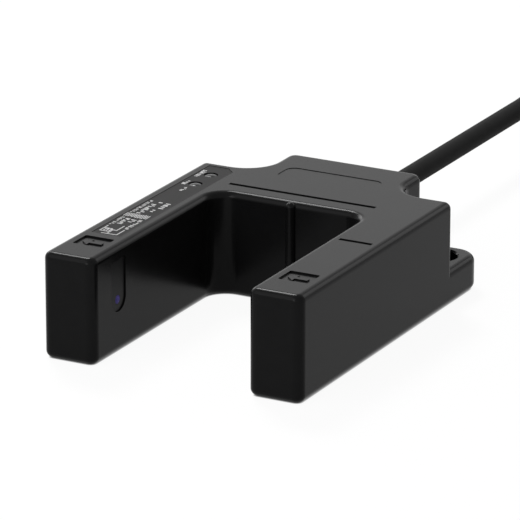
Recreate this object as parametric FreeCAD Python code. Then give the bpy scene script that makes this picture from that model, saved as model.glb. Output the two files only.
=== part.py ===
import FreeCAD, Part
import math
import os

# A U-shaped fork photoelectric sensor with its cable.
# Millimetres. X runs from the receiver arm to the emitter arm, Y from the arm tips to the cable, Z up.
# The origin is under the middle of the case, on the plane that it stands on.
# A depth is a distance behind the arm tips.

V = FreeCAD.Vector

# Case
gap_width = 50.0
arm_width = 17.2
case_height = 32.5
slot_depth = 74.1
slot_corner = 6.4
bridge_length = 23.6
neck_length = 19.9
neck_width = 45.2
neck_corner = 3.2
neck_hollow = 10.0
edge_radius = 2.15
tip_corner = 2.8
wall = 2.5
inner_corner = 1.2
bead_radius = 1.6

# Flange at the foot of the neck, with the two screw ears
flange_lip = 0.9
flange_height = 10.8
flange_corner = 7.1
ear_spacing = 64.0
ear_inset = 10.2
ear_hole = 6.5
ear_counterbore = 12.4
ear_chamfer = 0.5
ear_web = 4.8

# Marks in the top face
groove_width = 1.6
groove_drop = 0.8
long_groove_length = 49.1
long_groove_inset = 7.3
short_groove_length = 10.6
short_groove_depth = 50.6
pocket_width = 9.6
pocket_length = 8.0
pocket_front = 11.25
pocket_drop = 0.5
pocket_corner = 0.6
arrow_length = 6.6
arrow_head = 2.6
arrow_head_width = 4.7
arrow_shaft = 1.5
arrow_rise = 0.4
plate_width = 32.2
plate_length = 10.4
plate_inset = 13.0
plate_corner = 3.0
plate_drop = 0.15

# Label and the two indicators under it
label_width = 9.7
label_front = 22.4
label_inset = 3.4
label_chamfer = 3.0
label_drop = 0.24
label_thickness = 0.15
label_gap = 0.1
indicator_inset = 7.9
indicator_pitch = 9.8
indicator_hole = 4.2
indicator_gap = 0.05
dome_rise = 0.5
dome_setback = 0.2
lens_rim = 6.0
lens_rim_thickness = 1.0

# Optics in each arm
beam_depth = 14.6
beam_height = 16.2
window_width = 8.4
window_drop = 3.6
window_top_inset = 4.1
window_setback = 0.4
window_thickness = 1.2
window_gap = 0.05
aperture = 5.5
spot_diameter = 2.6
spot_rise = 0.25
holder_width = 9.0
holder_height = 10.0
holder_thickness = 4.0
diode_diameter = 3.0
diode_reach = 4.3
diode_rim = 3.8
diode_rim_thickness = 1.0
diode_gap = 0.05
lead_width = 0.5
lead_pitch = 2.54
lead_length = 3.5

# Circuit boards
arm_board_thickness = 1.0
arm_board_length = 21.3
arm_board_foot = 4.4
arm_board_top_inset = 4.0
rail_width = 1.2
rail_length = 2.0
board_gap = 0.05
board_hang = 9.4
board_thickness = 1.6
board_margin = 0.7
board_tab = 10.8
wire_diameter = 1.1
wire_pitch = 1.2
wire_first_depth = 20.0
wire_tuck = 4.7
wire_bend = 1.2
emitter_wire_count = 2
receiver_wire_count = 3
lay_gap = 0.02

# Parts on the main board, placed by X and by the distance in front of its rear edge
chip_place = (-8.0, 7.0)
chip_size = (8.7, 3.9, 1.5)
chip_lift = 0.12
chip_leg_width = 0.4
chip_leg_reach = 1.1
chip_leg_pitch = 1.27
chip_leg_count = 7
transistor_place = (11.0, 4.0)
transistor_radius = 2.3
transistor_height = 4.6
transistor_lift = 1.0
capacitor_place = (29.0, 8.5)
capacitor_radius = 3.15
capacitor_height = 7.7
capacitor_groove = 0.35
capacitor_groove_height = 1.6
resistor_size = (1.6, 3.2, 0.6)
resistor_pitch = 3.0
resistor_count = 8
resistor_inset = 3.2
guard_diode_place = (2.0, 4.9)
guard_diode_pitch = 3.6
guard_diode_radius = 0.9
guard_diode_length = 4.2

# Screws and their bosses
screw_diameter = 2.6
thread_gap = 0.05
screw_gap = 0.2
screw_head = 4.8
sink_drop = 1.4
pan_head_height = 1.7
pan_head_round = 0.6
cross_width = 0.8
cross_depth = 0.8
cover_screw_length = 9.0
board_screw_length = 7.0
clamp_screw_length = 9.5
boss_diameter = 5.6
boss_inset = 2.5
arm_boss_depth = 30.0
arm_boss_side = 10.2
board_boss_side = 5.0
board_boss_inset = 8.5
tab_boss_inset = 3.8

# Cover
cover_thickness = 2.0
cover_setback = 0.2
cover_gap = 0.15
rim_width = 1.2
rim_height = 1.5

# Cable where it enters the case
cable_diameter = 6.5
cable_height = 17.6
cable_inside = 14.6
bush_tail = 14.0
bush_flange = 12.6
bush_flange_thickness = 1.5
bush_hole = 10.0
bush_tail_root = 10.2
bush_tail_tip = 8.2
bush_gap = 0.05
bush_slot = 1.0
bush_slot_pitch = 2.6
bush_slot_first = 1.6
bush_slot_count = 4
bush_slot_floor = 7.6
clamp_inset = 9.1
clamp_thickness = 5.0
clamp_width = 18.0
clamp_height = 4.8
clamp_split = 0.4
clamp_screw_spacing = 12.0
core_diameter = 1.3
core_offset = 0.95
core_pitch = 3.2
core_straight = 3.2
core_fan_length = 7.0
core_landing = 8.0

# Cable behind the case: a straight stretch, one bend, then a coil that lies on the floor
cable_bend = (0.0, 250.0)
coil_start = (-14.0, 304.0)
coil_outer = 40.5
coil_inner = 26.5
coil_layers = 4
coil_slack = 0.1
coil_clear = 1.5
tail_length = 4.0
end_core_length = 42.0
end_core_straight = 4.0
end_core_spread = 5.0
bare_end = 7.0
bare_diameter = 0.9

# Derived places
shoulder_depth = slot_depth + bridge_length
neck_depth = shoulder_depth + neck_length
flange_depth = neck_depth + flange_lip
y_tip = -flange_depth / 2
half_gap = gap_width / 2
half_width = half_gap + arm_width
half_neck = neck_width / 2
arm_middle = half_gap + arm_width / 2
inner_wall = half_gap + wall
roof = case_height - wall
cover_top = cover_setback + cover_thickness
label_rear = shoulder_depth - label_inset
indicator_depths = {
    "power": label_rear - indicator_inset,
    "output": label_rear - indicator_inset - indicator_pitch,
}
board_edge = wall + board_margin
board_top = roof - board_hang
board_level = board_top - board_thickness
board_front = slot_depth + board_edge
board_rear = shoulder_depth - board_edge
board_tab_front = board_front - board_tab
lamp_height = diode_rim_thickness + diode_reach
arm_board_side = inner_wall + holder_thickness + diode_rim_thickness + lead_length
cable_radius = cable_diameter / 2
core_radius = core_diameter / 2
boss_radius = boss_diameter / 2
pilot_radius = screw_diameter / 2 + thread_gap
screw_hole_radius = screw_diameter / 2 + screw_gap
clamp_depth = neck_depth - clamp_inset
jacket_end_depth = neck_depth - cable_inside
exit_depth = neck_depth + bush_tail
tiny = 1e-6
LEFT = -1
RIGHT = 1


def at(depth):
    """The Y of a place that lies that far behind the arm tips."""
    return y_tip + depth


def profile(corners, z=0.0):
    """A closed wire through corners (x, y, radius), each rounded with its own radius."""
    points = [V(x, y, z) for x, y, _ in corners]
    edges, last, first = [], None, None
    for i, (_, _, radius) in enumerate(corners):
        here = points[i]
        start, end, arc = here, here, None
        if radius > 0:
            to_last = (points[i - 1] - here).normalize()
            to_next = (points[(i + 1) % len(points)] - here).normalize()
            half = to_last.getAngle(to_next) / 2
            reach = radius / math.tan(half)
            start, end = here + to_last * reach, here + to_next * reach
            inward = (to_last + to_next).normalize()
            middle = here + inward * (radius / math.sin(half) - radius)
            arc = Part.Arc(start, middle, end).toShape()
        if last is not None:
            edges.append(Part.LineSegment(last, start).toShape())
        if arc:
            edges.append(arc)
        first = first or start
        last = end
    edges.append(Part.LineSegment(last, first).toShape())
    return Part.Wire(edges)


def prism(corners, z_low, z_high):
    """An upright prism over the rounded outline."""
    return Part.Face(profile(corners, z_low)).extrude(V(0, 0, z_high - z_low))


def rounded_box(x_low, x_high, y_low, y_high, radius):
    """The corners of a rectangle with all four rounded alike."""
    return [(x_low, y_low, radius), (x_high, y_low, radius), (x_high, y_high, radius), (x_low, y_high, radius)]


def box(x_low, x_high, y_low, y_high, z_low, z_high):
    """A block between two corners."""
    return Part.makeBox(x_high - x_low, y_high - y_low, z_high - z_low, V(x_low, y_low, z_low))


def block(centre, size):
    """A block about its centre."""
    return Part.makeBox(size.x, size.y, size.z, centre - size * 0.5)


def rod(radius, start, end):
    """A round rod from one point to another."""
    along = end - start
    return Part.makeCylinder(radius, along.Length, start, along)


def post(radius, x, y, z_low, z_high):
    """An upright round rod."""
    return rod(radius, V(x, y, z_low), V(x, y, z_high))


def cone(radius_start, radius_end, start, end):
    """A round taper from one point to another."""
    along = end - start
    return Part.makeCone(radius_start, radius_end, along.Length, start, along)


def mirrored(shape):
    """The same shape on the other side of the X = 0 plane."""
    return shape.mirror(V(0, 0, 0), V(1, 0, 0))


def on_side(shape, side):
    """A shape made for the right arm, for whichever arm is asked for."""
    return shape if side == RIGHT else mirrored(shape)


def stands_on(edge, spots):
    """Whether an upright edge stands on one of the (x, y) spots."""
    a, b = edge.Vertexes[0].Point, edge.Vertexes[-1].Point
    upright = math.hypot(a.x - b.x, a.y - b.y) < tiny
    return upright and any(math.hypot(a.x - x, a.y - y) < tiny for x, y in spots)


def lies_flat(edge, level):
    """Whether a whole edge lies in the plane at that height."""
    return abs(edge.BoundBox.ZMin - level) < tiny and abs(edge.BoundBox.ZMax - level) < tiny


def outline(inset, corner):
    """The U-shaped plan of the case, moved inwards by inset, its outward corners rounded by corner or more."""
    inner, outer, neck = half_gap + inset, half_width - inset, half_neck - inset
    front, shoulder, rear = at(inset), at(shoulder_depth - inset), at(neck_depth - inset)
    slot = at(slot_depth + inset)
    tip = max(tip_corner - inset, corner)
    right = [
        (inner, front, tip),
        (outer, front, tip),
        (outer, shoulder, corner),
        (neck, shoulder, neck_hollow + inset),
        (neck, rear, max(neck_corner - inset, corner)),
    ]
    left = [(-x, y, radius) for x, y, radius in reversed(right)]
    return right + left + [(-inner, slot, slot_corner + inset), (inner, slot, slot_corner + inset)]


def rounded_body():
    """The U-shaped body with rounded corners, top edge and bottom edge, and the bead in its slot."""
    body = prism(outline(0, 0), 0, case_height)
    spots = [(x, y) for x, y, radius in outline(0, 0) if radius == 0]
    edges = [
        e for e in body.Edges if stands_on(e, spots) or lies_flat(e, 0) or lies_flat(e, case_height)
    ]
    return body.makeFillet(edge_radius, edges).fuse(bead())


def flange():
    """The low flange at the foot of the neck, which carries the two screw ears."""
    front, rear = at(shoulder_depth - wall - edge_radius), at(flange_depth)
    corners = [
        (-half_width, front, 0),
        (half_width, front, 0),
        (half_width, rear, flange_corner),
        (-half_width, rear, flange_corner),
    ]
    slab = prism(corners, 0, flange_height)
    edges = [
        e
        for e in slab.Edges
        if (lies_flat(e, 0) or lies_flat(e, flange_height)) and e.BoundBox.YMax > front + tiny
    ]
    return slab.makeFillet(edge_radius, edges)


def ear_holes():
    """The screw hole and the round counterbore in each ear."""
    cuts = []
    for side in (LEFT, RIGHT):
        x, y = side * ear_spacing / 2, at(flange_depth - ear_inset)
        cuts.append(post(ear_hole / 2, x, y, 0, ear_web))
        cuts.append(post(ear_counterbore / 2, x, y, ear_web, flange_height))
        low, high = V(x, y, flange_height - ear_chamfer), V(x, y, flange_height)
        cuts.append(cone(ear_counterbore / 2, ear_counterbore / 2 + ear_chamfer, low, high))
    return cuts


def bead():
    """The upright half-round bead with domed ends in the middle of the wall between the arms."""
    y, low, high = at(slot_depth), bead_radius, case_height - bead_radius
    ends = [Part.makeSphere(bead_radius, V(0, y, z)) for z in (low, high)]
    column = post(bead_radius, 0, y, low, high).fuse(ends)
    return column.rotate(V(0, y, 0), V(0, 0, 1), 90)


def grooves():
    """The alignment grooves in the top face: the long one, and the short one on the emitter arm."""
    floor, half = case_height - groove_drop, groove_width / 2
    cuts = []
    for x, depth, length in (
        (0, slot_depth + long_groove_inset, long_groove_length),
        (arm_middle, short_groove_depth, short_groove_length),
    ):
        y = at(depth)
        cuts.append(box(x - length / 2, x + length / 2, y - half, y + half, floor, case_height))
    return cuts


def arrow_pocket(side):
    """The pocket near an arm's tip, with the raised beam arrow left standing in it."""
    x, front, half = side * arm_middle, at(pocket_front), pocket_width / 2
    floor = case_height - pocket_drop
    corners = rounded_box(x - half, x + half, front, front + pocket_length, pocket_corner)
    pocket = prism(corners, floor, case_height)
    y, tip = at(beam_depth), x - arrow_length / 2
    neck, tail = tip + arrow_head, tip + arrow_length
    shaft, head = arrow_shaft / 2, arrow_head_width / 2
    upper = [(neck, y + head, 0), (neck, y + shaft, 0), (tail, y + shaft, 0)]
    lower = [(tail, y - shaft, 0), (neck, y - shaft, 0), (neck, y - head, 0)]
    return pocket.cut(prism([(tip, y, 0)] + lower[::-1] + upper[::-1], floor, floor + arrow_rise))


def name_plate_pocket():
    """The shallow round-cornered pocket on the neck, which stays bare."""
    half, rear = plate_width / 2, at(neck_depth - plate_inset)
    corners = rounded_box(-half, half, rear - plate_length, rear, plate_corner)
    return prism(corners, case_height - plate_drop, case_height)


def label_outline(gap):
    """The label's plan on the receiver arm, smaller than its pocket by gap all round."""
    outer = -arm_middle - label_width / 2 + gap
    inner = -arm_middle + label_width / 2 - gap
    front, rear = at(label_front) + gap, at(label_rear) - gap
    return [
        (outer, front, 0),
        (inner, front, 0),
        (inner, rear - label_chamfer, 0),
        (inner - label_chamfer, rear, 0),
        (outer, rear, 0),
    ]


def label_pocket():
    """The pocket that the label lies in, and the two indicator holes through the roof."""
    cuts = [prism(label_outline(0), case_height - label_drop, case_height)]
    for depth in indicator_depths.values():
        cuts.append(post(indicator_hole / 2, -arm_middle, at(depth), roof, case_height))
    return cuts


def window_plate(x_low, x_high, gap):
    """A window-shaped plate of the right arm, half round at its foot and square at its top."""
    half, y = window_width / 2 - gap, at(beam_depth)
    foot = beam_height - window_drop + window_width / 2
    top = case_height - window_top_inset - gap
    upper = box(x_low, x_high, y - half, y + half, foot, top)
    return upper.fuse(rod(half, V(x_low, y, foot), V(x_high, y, foot))).removeSplitter()


def beam_rod(radius, x_low, x_high):
    """A round rod along the right arm's beam axis."""
    return rod(radius, V(x_low, at(beam_depth), beam_height), V(x_high, at(beam_depth), beam_height))


def window_pocket():
    """The right arm's window pocket, and the round opening behind it."""
    seat = half_gap + window_setback + window_thickness
    return window_plate(half_gap, seat, 0).fuse(beam_rod(aperture / 2, seat, inner_wall))


def boss_places():
    """Where the six cover screws stand."""
    corner = boss_inset + wall
    right = (
        (half_gap + arm_boss_side, arm_boss_depth),
        (half_width - corner, shoulder_depth - corner),
        (half_neck - corner, neck_depth - corner),
    )
    return [(side * x, at(depth)) for side in (LEFT, RIGHT) for x, depth in right]


def board_boss_places():
    """Where the three screws of the main board stand."""
    side, y = half_gap - board_boss_side, at(board_rear - board_boss_inset)
    return [(-side, y), (side, y), (-arm_middle, at(board_tab_front + tab_boss_inset))]


def bosses():
    """The screw bosses that hang from the roof: long ones to the cover, short ones to the main board."""
    made = []
    for places, low, length in (
        (boss_places(), cover_top, cover_screw_length),
        (board_boss_places(), board_top, board_screw_length),
    ):
        for x, y in places:
            boss = post(boss_radius, x, y, low, roof + wall / 2)
            made.append(boss.cut(post(pilot_radius, x, y, low, low + length)))
    return made


def boss_webs():
    """The webs that tie each arm's boss to the outer wall."""
    y, half = at(arm_boss_depth), rail_width / 2
    x_low = half_gap + arm_boss_side + pilot_radius + thread_gap
    web = box(x_low, half_width - wall / 2, y - half, y + half, cover_top, roof + wall / 2)
    return [web, mirrored(web)]


def board_rails():
    """The two upright rails behind each arm's front wall, which hold the arm board's edge."""
    before = arm_board_side - board_gap - rail_width
    behind = arm_board_side + arm_board_thickness + board_gap
    made = []
    for x_low in (before, behind):
        rail = box(
            x_low, x_low + rail_width, at(wall / 2), at(wall + rail_length), arm_board_foot, roof + wall / 2
        )
        made += [rail, mirrored(rail)]
    return made


def jacket_room(front, rear):
    """The round space that the cable's jacket needs between two depths."""
    return rod(cable_radius + bush_gap, V(0, at(front), cable_height), V(0, at(rear), cable_height))


def clamp_span():
    """The depths of the clamp's front and rear faces."""
    return clamp_depth - clamp_thickness / 2, clamp_depth + clamp_thickness / 2


def saddle():
    """The block that hangs from the roof over the cable's jacket, with the clamp's two screw holes."""
    front, rear = clamp_span()
    low, half = cable_height + clamp_split / 2, clamp_width / 2
    body = box(-half, half, at(front), at(rear), low, roof + wall / 2)
    body = body.cut(jacket_room(front, rear))
    for side in (LEFT, RIGHT):
        x = side * clamp_screw_spacing / 2
        body = body.cut(post(pilot_radius, x, at(clamp_depth), low, low + clamp_screw_length - clamp_height))
    return body


def cable_hole():
    """The round hole for the bush, through the rear wall."""
    return rod(bush_hole / 2, V(0, at(neck_depth - wall), cable_height), V(0, at(flange_depth), cable_height))


def case():
    """The U-shaped upper moulding."""
    body = rounded_body().fuse(flange())
    body = body.cut([cable_hole()] + ear_holes())
    body = body.cut(prism(outline(wall, inner_corner), 0, roof))
    body = body.fuse([saddle()] + bosses() + boss_webs() + board_rails())
    cuts = grooves() + [arrow_pocket(LEFT), arrow_pocket(RIGHT), name_plate_pocket()]
    cuts += label_pocket() + [window_pocket(), mirrored(window_pocket())]
    return body.cut(cuts).removeSplitter()


def rim_gaps():
    """Where the cover's rim gives way to the case's bosses and webs."""
    high = cover_top + rim_height
    clear = boss_radius + screw_gap
    cuts = [post(clear, x, y, cover_top, high) for x, y in boss_places()]
    y = at(arm_boss_depth)
    web = box(arm_middle, half_width, y - clear, y + clear, cover_top, high)
    return cuts + [web, mirrored(web)]


def bottom_cover():
    """The plate that closes the underside, with a locating rim and sunk screw holes."""
    edge, high = wall + cover_gap, cover_top + rim_height
    plate = prism(outline(edge, inner_corner), cover_setback, cover_top)
    rim = prism(outline(edge, inner_corner), cover_top, high)
    rim = rim.cut(prism(outline(edge + rim_width, inner_corner), cover_top, high)).cut(rim_gaps())
    plate = plate.fuse(rim)
    for x, y in boss_places():
        sunk = cone(
            screw_head / 2 + thread_gap,
            screw_hole_radius,
            V(x, y, cover_setback),
            V(x, y, cover_setback + sink_drop),
        )
        plate = plate.cut([post(screw_hole_radius, x, y, cover_setback, cover_top), sunk])
    return plate.removeSplitter()


def cross_recess(x, y, z):
    """The driver's cross in a screw head that faces down."""
    reach, deep = screw_head / 2, z + cross_depth / 2
    one = block(V(x, y, deep), V(reach, cross_width, cross_depth))
    return one.fuse(block(V(x, y, deep), V(cross_width, reach, cross_depth)))


def sunk_screw(x, y):
    """A countersunk self-tapping screw of the cover, driven from below."""
    low = cover_setback
    head = cone(screw_head / 2, screw_diameter / 2, V(x, y, low), V(x, y, low + sink_drop))
    shank = post(screw_diameter / 2, x, y, low + sink_drop, low + cover_screw_length)
    return head.fuse(shank).cut(cross_recess(x, y, low)).removeSplitter()


def pan_screw(x, y, seat, length):
    """A pan-head self-tapping screw whose head bears upwards at the height seat."""
    low = seat - pan_head_height
    head = post(screw_head / 2, x, y, low, seat)
    head = head.makeFillet(pan_head_round, [e for e in head.Edges if lies_flat(e, low)])
    shank = post(screw_diameter / 2, x, y, seat, seat + length)
    return head.fuse(shank).cut(cross_recess(x, y, low)).removeSplitter()


def cover_screws():
    """The six screws of the cover."""
    return Part.Compound([sunk_screw(x, y) for x, y in boss_places()])


def board_screws():
    """The three screws of the main board."""
    return Part.Compound([pan_screw(x, y, board_level, board_screw_length) for x, y in board_boss_places()])


def clamp_screws():
    """The two screws of the cable clamp."""
    seat = cable_height - clamp_split / 2 - clamp_height
    half, y = clamp_screw_spacing / 2, at(clamp_depth)
    return Part.Compound([pan_screw(side * half, y, seat, clamp_screw_length) for side in (LEFT, RIGHT)])


def cable_clamp():
    """The bar that presses the jacket into the saddle."""
    front, rear = clamp_span()
    high, half = cable_height - clamp_split / 2, clamp_width / 2
    low = high - clamp_height
    bar = prism(rounded_box(-half, half, at(front), at(rear), inner_corner), low, high)
    bar = bar.cut(jacket_room(front, rear))
    for side in (LEFT, RIGHT):
        bar = bar.cut(post(screw_hole_radius, side * clamp_screw_spacing / 2, at(clamp_depth), low, high))
    return bar


def label():
    """The thin label, holed for the two indicators."""
    low = case_height - label_drop
    sheet = prism(label_outline(label_gap), low, low + label_thickness)
    radius = indicator_hole / 2 + label_gap
    for depth in indicator_depths.values():
        sheet = sheet.cut(post(radius, -arm_middle, at(depth), low, low + label_thickness))
    return sheet


def indicator_lens(depth):
    """A clear dome in the roof, with a rim under it and a stem down to its lamp."""
    x, y = -arm_middle, at(depth)
    radius = indicator_hole / 2 - indicator_gap
    top = case_height - dome_setback
    ball = (radius**2 + dome_rise**2) / (2 * dome_rise)
    stem = post(radius, x, y, board_top + lamp_height + lay_gap, top - dome_rise)
    dome = Part.makeSphere(ball, V(x, y, top - ball)).common(post(radius, x, y, top - dome_rise, top))
    rim = post(lens_rim / 2, x, y, roof - lens_rim_thickness, roof)
    return stem.fuse([dome, rim]).removeSplitter()


def round_diode(foot, up):
    """A round diode: rim, body and domed end, from its foot along the unit vector up."""
    rim_top = foot + up * diode_rim_thickness
    radius = diode_diameter / 2
    dome = rim_top + up * (diode_reach - radius)
    body = rod(diode_rim / 2, foot, rim_top).fuse(rod(radius, rim_top, dome))
    return body.fuse(Part.makeSphere(radius, dome)).removeSplitter()


def indicator_lamp(depth):
    """An indicator lamp that stands on the main board, with its two legs in the board."""
    foot = V(-arm_middle, at(depth), board_top)
    lamp = round_diode(foot, V(0, 0, 1))
    for side in (LEFT, RIGHT):
        centre = foot + V(side * lead_pitch / 2, 0, -board_thickness / 2)
        lamp = lamp.fuse(block(centre, V(lead_width, lead_width, board_thickness)))
    return lamp


def window():
    """The right arm's window plate, holed for the small lens."""
    low = half_gap + window_setback
    high = low + window_thickness
    return window_plate(low, high, window_gap).cut(beam_rod(spot_diameter / 2 + window_gap, low, high))


def lens():
    """The small lens in the right arm's window, slightly domed towards the gap."""
    low = half_gap + window_setback
    radius = spot_diameter / 2
    ball = (radius**2 + spot_rise**2) / (2 * spot_rise)
    dome = Part.makeSphere(ball, V(low + ball - spot_rise, at(beam_depth), beam_height))
    dome = dome.common(beam_rod(radius, low - spot_rise, low))
    return beam_rod(radius, low, low + window_thickness).fuse(dome).removeSplitter()


def holder():
    """The block on the right arm's inner wall that lines the diode up with the window."""
    centre = V(inner_wall + holder_thickness / 2, at(beam_depth), beam_height)
    body = block(centre, V(holder_thickness, holder_width, holder_height))
    body = body.makeFillet(inner_corner, [e for e in body.Edges if abs(e.BoundBox.XLength - holder_thickness) < tiny])
    return body.cut(beam_rod(diode_diameter / 2 + diode_gap, inner_wall, inner_wall + holder_thickness))


def diode():
    """The right arm's light element: a domed diode on its side, with two legs to the arm board."""
    back = inner_wall + holder_thickness + diode_rim_thickness
    foot = V(back, at(beam_depth), beam_height)
    body = round_diode(foot, V(-1, 0, 0))
    for side in (LEFT, RIGHT):
        centre = foot + V(lead_length / 2, 0, side * lead_pitch / 2)
        body = body.fuse(block(centre, V(lead_length, lead_width, lead_width)))
    return body


def arm_board():
    """The right arm's upright circuit board."""
    front, outer = at(wall + screw_gap), arm_board_side + arm_board_thickness
    top = roof - arm_board_top_inset
    return box(arm_board_side, outer, front, front + arm_board_length, arm_board_foot, top)


def main_board():
    """The main circuit board: across the case behind the slot, with a tab into the receiver arm."""
    side, inner = half_width - board_edge, half_gap + board_edge
    corners = [
        (-side, at(board_tab_front), 0),
        (-inner, at(board_tab_front), 0),
        (-inner, at(board_front), 0),
        (side, at(board_front), 0),
        (side, at(board_rear), 0),
        (-side, at(board_rear), 0),
    ]
    board = prism(corners, board_level, board_top)
    holes = [post(boss_radius + board_margin, x, y, board_level, board_top) for x, y in boss_places()]
    holes += [post(screw_hole_radius, x, y, board_level, board_top) for x, y in board_boss_places()]
    for depth in indicator_depths.values():
        for leg in (LEFT, RIGHT):
            x = -arm_middle + leg * lead_pitch / 2
            holes.append(post(lead_width, x, at(depth), board_level, board_top))
    return board.cut(holes)


def on_board(place):
    """A point on the main board's top, from X and the distance in front of its rear edge."""
    x, inset = place
    return V(x, at(board_rear - inset), board_top)


def comparator_chip():
    """The comparator chip, with bent legs along both long sides."""
    foot, size = on_board(chip_place), V(*chip_size)
    body = block(foot + V(0, 0, chip_lift + size.z / 2), size)
    shoulder = chip_lift + size.z / 2
    for i in range(chip_leg_count):
        x = (i - (chip_leg_count - 1) / 2) * chip_leg_pitch
        for side in (LEFT, RIGHT):
            near = V(x, side * (size.y / 2 + chip_leg_reach / 4), shoulder - chip_leg_width / 2)
            far = V(x, side * (size.y / 2 + chip_leg_reach * 0.75), chip_leg_width / 4)
            drop = V(x, side * (size.y / 2 + chip_leg_reach / 2), shoulder / 2)
            legs = [
                block(foot + near, V(chip_leg_width, chip_leg_reach / 2, chip_leg_width)),
                block(foot + drop, V(chip_leg_width, chip_leg_width / 2, shoulder)),
                block(foot + far, V(chip_leg_width, chip_leg_reach / 2, chip_leg_width / 2)),
            ]
            body = body.fuse(legs)
    return body.removeSplitter()


def output_transistor():
    """The output transistor: a flat-fronted round body on three short legs."""
    foot = on_board(transistor_place)
    low, high = board_top + transistor_lift, board_top + transistor_lift + transistor_height
    body = post(transistor_radius, foot.x, foot.y, low, high)
    flat = foot + V(0, -transistor_radius, transistor_lift + transistor_height / 2)
    body = body.cut(block(flat, V(2 * transistor_radius, transistor_radius, transistor_height)))
    for i in (-1, 0, 1):
        centre = foot + V(i * lead_pitch / 2, 0, transistor_lift / 2)
        body = body.fuse(block(centre, V(lead_width, lead_width, transistor_lift)))
    return body


def smoothing_capacitor():
    """The smoothing capacitor: an upright can with a rolled groove near its foot."""
    foot = on_board(capacitor_place)
    top = board_top + capacitor_height
    can = post(capacitor_radius, foot.x, foot.y, board_top, top)
    can = can.makeFillet(capacitor_groove, [e for e in can.Edges if lies_flat(e, top)])
    centre = foot + V(0, 0, capacitor_groove_height)
    return can.cut(Part.makeTorus(capacitor_radius + capacitor_groove / 2, capacitor_groove, centre))


def resistors():
    """The row of small resistors near the board's front edge."""
    size = V(*resistor_size)
    y = at(board_front + resistor_inset)
    made = []
    for i in range(resistor_count):
        x = (i - (resistor_count - 1) / 2) * resistor_pitch
        made.append(block(V(x, y, board_top + size.z / 2), size))
    return Part.Compound(made)


def protection_diodes():
    """The two diodes that guard the supply and the output."""
    made = []
    for i in (0, 1):
        centre = on_board(guard_diode_place) + V(0, -i * guard_diode_pitch, guard_diode_radius)
        half = V(guard_diode_length / 2, 0, 0)
        made.append(rod(guard_diode_radius, centre - half, centre + half))
    return Part.Compound(made)


def bush_ring(radius, start, end):
    """A round stretch of the bush between two depths."""
    return rod(radius, V(0, at(start), cable_height), V(0, at(end), cable_height))


def bush_tail_body():
    """The bush's tapered tail, slotted all round so that it bends with the cable."""
    start = neck_depth + bush_flange_thickness
    root, tip = V(0, at(start), cable_height), V(0, at(exit_depth), cable_height)
    tail = cone(bush_tail_root / 2, bush_tail_tip / 2, root, tip)
    for i in range(bush_slot_count):
        front = start + bush_slot_first + i * bush_slot_pitch
        rear = front + bush_slot
        tail = tail.cut(bush_ring(bush_tail_root, front, rear).cut(bush_ring(bush_slot_floor / 2, front, rear)))
    return tail


def cable_bush():
    """The rubber bush in the rear wall: two collars with the wall between them, and a slotted tail."""
    inside, outside = neck_depth - wall, neck_depth
    inner_collar = bush_ring(bush_flange / 2, inside - bush_flange_thickness, inside)
    neck = bush_ring(bush_hole / 2 - bush_gap, inside, outside)
    outer_collar = bush_ring(bush_flange / 2, outside, outside + bush_flange_thickness)
    body = inner_collar.fuse([neck, outer_collar, bush_tail_body()])
    return body.cut(jacket_room(inside - bush_flange_thickness, exit_depth)).removeSplitter()


def tube(route, radius, report=False):
    """A tube along straight runs joined by tangent arcs, as large as the two runs at each point allow."""
    edges, last = [], route[0]
    for before, here, after in zip(route, route[1:], route[2:]):
        back, on = before - here, after - here
        half_turn = (math.pi - back.getAngle(on)) / 2
        reach = 0.45 * min(back.Length, on.Length)
        bend = reach / math.tan(half_turn)
        start = here + back.normalize() * reach
        end = here + on.normalize() * reach
        inward = (back + on).normalize()
        middle = here + inward * (bend / math.cos(half_turn) - bend)
        edges.append(Part.LineSegment(last, start).toShape())
        edges.append(Part.Arc(start, middle, end).toShape())
        last = end
        if report:
            print("cable bend radius", round(bend, 1))
    edges.append(Part.LineSegment(last, route[-1]).toShape())
    circle = Part.Wire(Part.Circle(route[0], route[1] - route[0], radius).toShape())
    solid = Part.Wire(edges).makePipeShell([circle], True, False)
    if report:
        length = sum(e.Length for e in edges)
        print("cable tube volume by section times length", solid.Volume / (math.pi * radius**2 * length))
    return solid


def elbow_wire(first, corner, last):
    """A wire with one right-angled elbow."""
    start = corner + (first - corner).normalize() * wire_bend
    end = corner + (last - corner).normalize() * wire_bend
    centre = start + end - corner
    middle = centre + (corner - centre).normalize() * wire_bend
    edges = [
        Part.LineSegment(first, start).toShape(),
        Part.Arc(start, middle, end).toShape(),
        Part.LineSegment(end, last).toShape(),
    ]
    circle = Part.Wire(Part.Circle(first, corner - first, wire_diameter / 2).toShape())
    return Part.Wire(edges).makePipeShell([circle], True, False)


def arm_wires(side, count):
    """The wires of one arm, side by side, from the arm board back under the main board."""
    z = board_level - wire_diameter / 2 - lay_gap
    made = []
    for i in range(count):
        x = inner_wall + wire_diameter / 2 + lay_gap + i * wire_pitch
        y = at(wire_first_depth + i * wire_pitch)
        rear = at(board_front + wire_tuck)
        made.append(on_side(elbow_wire(V(arm_board_side, y, z), V(x, y, z), V(x, rear, z)), side))
    return Part.Compound(made)


def core_spots():
    """Where the four cores stand in the jacket's section, as x and z, with their place in the fan."""
    return {
        "brown": (-core_offset, core_offset, -1.5),
        "blue": (-core_offset, -core_offset, -0.5),
        "black": (core_offset, -core_offset, 0.5),
        "white": (core_offset, core_offset, 1.5),
    }


def lead_core(x, z, place):
    """A core from the jacket's inner end, fanned out to its pad under the main board."""
    landing = board_level - core_radius - lay_gap
    straight = jacket_end_depth - core_straight
    fanned = jacket_end_depth - core_fan_length
    route = [
        V(x, at(jacket_end_depth), cable_height + z),
        V(x, at(straight), cable_height + z),
        V(place * core_pitch, at(fanned), landing),
        V(place * core_pitch, at(fanned - core_landing), landing),
    ]
    return tube(route, core_radius)


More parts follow.
